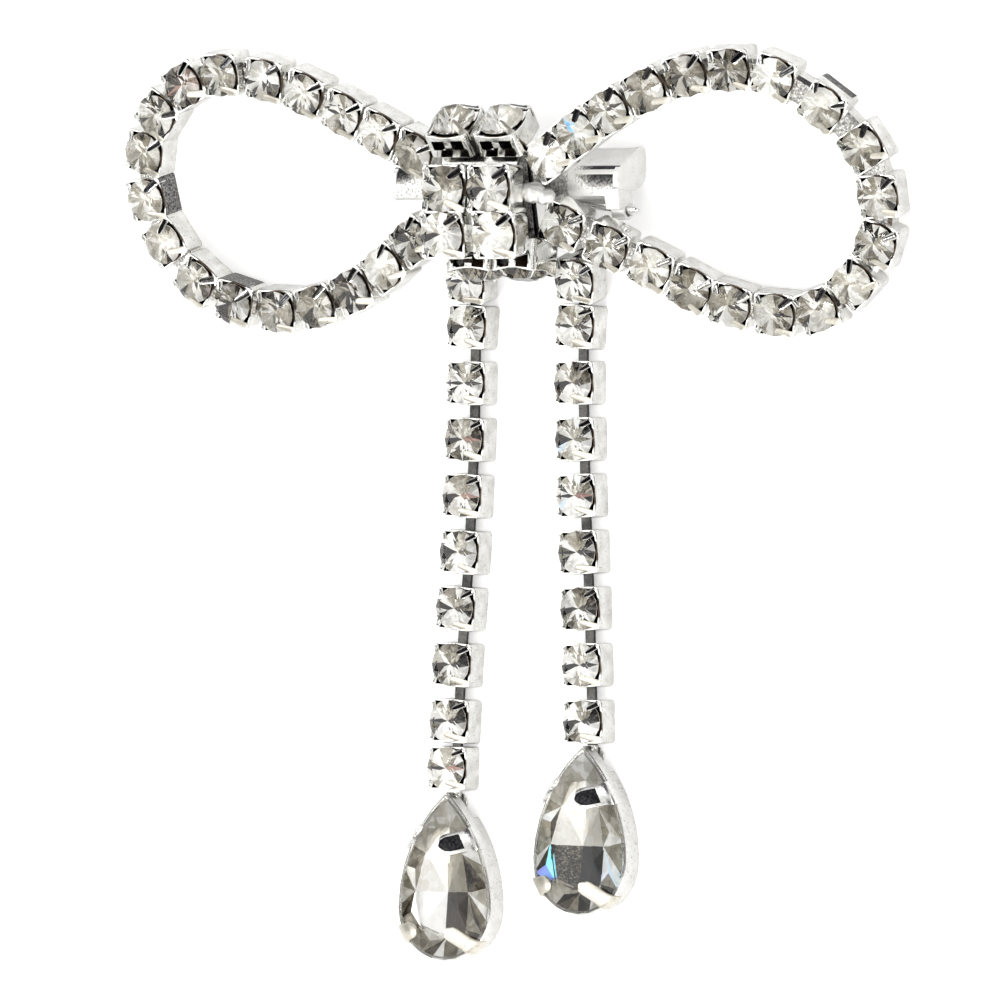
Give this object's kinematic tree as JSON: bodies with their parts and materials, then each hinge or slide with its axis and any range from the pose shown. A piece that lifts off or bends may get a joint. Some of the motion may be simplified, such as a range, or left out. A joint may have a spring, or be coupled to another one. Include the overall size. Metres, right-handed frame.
{
  "type": "bow brooch",
  "caption": "Bow-shaped brooch of square-set round stones over a wrapped knot, with two flexible cup-chain tails that end in pear drops, and a bar pin behind.",
  "frame": {"origin": "middle of the back edge of the pin bar's flange, where it rests on the surface the brooch lies on", "axes": "+X towards the right of the bow as seen from its front, +Y towards the top of the bow, +Z out of its front, away from the surface"},
  "size_m": [0.074, 0.0764, 0.0117],
  "materials": {
    "plated_metal": "bright plating",
    "finding": "bright plating on formed sheet and wire",
    "round_glass": "faceted, foiled on the back",
    "pear_glass": "faceted, foiled on the back"
  },
  "bodies": {
    "root": {"bow_loop_left": "plated_metal", "bow_loop_right": "plated_metal", "knot_setting": "plated_metal", "tail_left_cups": "plated_metal", "tail_right_cups": "plated_metal", "tail_left_links": "plated_metal", "tail_right_links": "plated_metal", "pear_setting_left": "plated_metal", "pear_setting_right": "plated_metal", "pin_bar": "finding", "pin_wire": "finding", "bow_stones_left": "round_glass", "bow_stones_right": "round_glass", "knot_stone_1": "round_glass", "knot_stone_2": "round_glass", "knot_stone_3": "round_glass", "knot_stone_4": "round_glass", "knot_stone_5": "round_glass", "knot_stone_6": "round_glass", "knot_stone_7": "round_glass", "knot_stone_8": "round_glass", "tail_left_stones": "round_glass", "tail_right_stones": "round_glass", "pear_stone_left": "pear_glass", "pear_stone_right": "pear_glass"}
  },
  "joints": []
}
